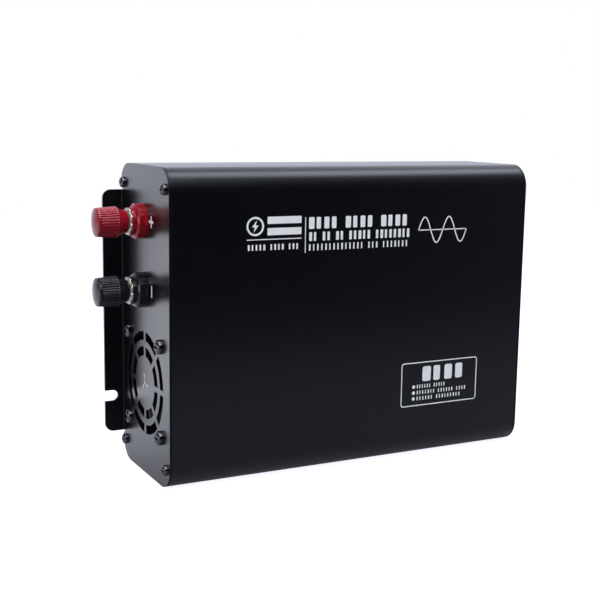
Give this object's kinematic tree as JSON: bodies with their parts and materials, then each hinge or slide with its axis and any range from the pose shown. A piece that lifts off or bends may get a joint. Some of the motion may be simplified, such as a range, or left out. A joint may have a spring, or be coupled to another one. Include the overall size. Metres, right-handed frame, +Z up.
{
  "type": "power inverter",
  "caption": "Boxy power inverter with a rounded aluminium case, bent end panels with wall flanges, red and black battery posts, a fan grille, an outlet, a display and a rocker switch.",
  "frame": {"origin": "centre of the flat strip of the narrow side that the case stands on, midway between the outer faces of the end panels", "axes": "+X along the case to the outlet end, +Y to the wall side behind the printed face, +Z up"},
  "size_m": [0.2684, 0.0764, 0.172],
  "materials": {
    "case_coat": "satin",
    "panel_coat": "satin",
    "black_screws": "satin",
    "red_plastic": "gloss",
    "black_plastic": "gloss",
    "outlet_plastic": "satin",
    "fan_plastic": "matte",
    "rocker_red": "gloss",
    "nickel": "satin",
    "brass": "satin",
    "copper": "satin",
    "ferrite": "matte",
    "red_jacket": "matte",
    "black_jacket": "matte",
    "brown_jacket": "matte",
    "ribbon_grey": "matte",
    "board_green": "satin",
    "sleeve_blue": "satin",
    "film_yellow": "satin",
    "fuse_orange": "gloss",
    "package_black": "matte",
    "bar_aluminium": "satin",
    "white_plastic": "satin",
    "display_glass": "gloss"
  },
  "bodies": {
    "root": {"case_shell": "case_coat", "terminal_end_panel": "panel_coat", "output_end_panel": "panel_coat", "terminal_panel_screws": "black_screws", "output_panel_screws": "black_screws", "fan_frame": "fan_plastic", "fan_bush": "brass", "fan_stator": "copper", "fan_screws": "black_screws", "fan_nuts": "nickel", "fan_lead": "red_jacket", "red_collar": "red_plastic", "red_bush": "red_plastic", "red_stud": "brass", "red_nut": "nickel", "red_lug": "brass", "red_cable": "red_jacket", "black_collar": "black_plastic", "black_bush": "black_plastic", "black_stud": "brass", "black_nut": "nickel", "black_lug": "brass", "black_cable": "black_jacket", "outlet_body": "outlet_plastic", "outlet_contacts": "brass", "outlet_wires": "brown_jacket", "rocker_housing": "black_plastic", "rocker_tabs": "nickel", "usb_shell": "nickel", "usb_tongue": "white_plastic", "usb_board": "board_green", "display_bezel": "black_plastic", "display_window": "display_glass", "display_module": "board_green", "display_ribbon": "ribbon_grey", "earth_screw": "nickel", "earth_nut": "nickel", "main_board": "board_green", "control_board": "board_green", "transformer_cores": "ferrite", "transformer_windings": "copper", "input_capacitors": "sleeve_blue", "bus_capacitor": "sleeve_blue", "inductor_core": "ferrite", "inductor_winding": "copper", "film_capacitor": "film_yellow", "fuse_holders": "fan_plastic", "blade_fuses": "fuse_orange", "dc_transistors": "package_black", "ac_transistors": "package_black", "clamp_bars": "bar_aluminium", "clamp_screws": "nickel", "buzzer": "fan_plastic"},
    "red_clamp": {"red_clamp_washer": "nickel"},
    "red_grip": {"red_knob": "red_plastic"},
    "black_clamp": {"black_clamp_washer": "nickel"},
    "black_grip": {"black_knob": "black_plastic"},
    "fan_wheel": {"fan_rotor": "fan_plastic", "fan_shaft": "nickel"},
    "rocker": {"rocker_button": "rocker_red"}
  },
  "joints": [
    {"name": "red_clamp_slide", "type": "slide", "parent": "root", "child": "red_clamp", "axis": [-1, 0, 0], "range_m": [0, 0.006]},
    {"name": "red_knob_turn", "type": "hinge", "parent": "red_clamp", "child": "red_grip", "pos_m": [-0.1335, 0.0012, 0.1416], "axis": [-1, 0, 0], "range_deg": [0, 2160]},
    {"name": "black_clamp_slide", "type": "slide", "parent": "root", "child": "black_clamp", "axis": [-1, 0, 0], "range_m": [0, 0.006]},
    {"name": "black_knob_turn", "type": "hinge", "parent": "black_clamp", "child": "black_grip", "pos_m": [-0.1335, 0.0012, 0.104], "axis": [-1, 0, 0], "range_deg": [0, 2160]},
    {"name": "fan_spin", "type": "hinge", "parent": "root", "child": "fan_wheel", "pos_m": [-0.1, 0, 0.0519], "axis": [-1, 0, 0], "continuous": true},
    {"name": "rocker_tilt", "type": "hinge", "parent": "root", "child": "rocker", "pos_m": [0.1125, -0.015, 0.052], "axis": [0, -1, 0], "range_deg": [0, 16]}
  ],
  "couplings": [
    {"joint": "red_knob_turn", "follows": "red_clamp_slide", "rad_per_m": 6283.1},
    {"joint": "black_knob_turn", "follows": "black_clamp_slide", "rad_per_m": 6283.1}
  ]
}
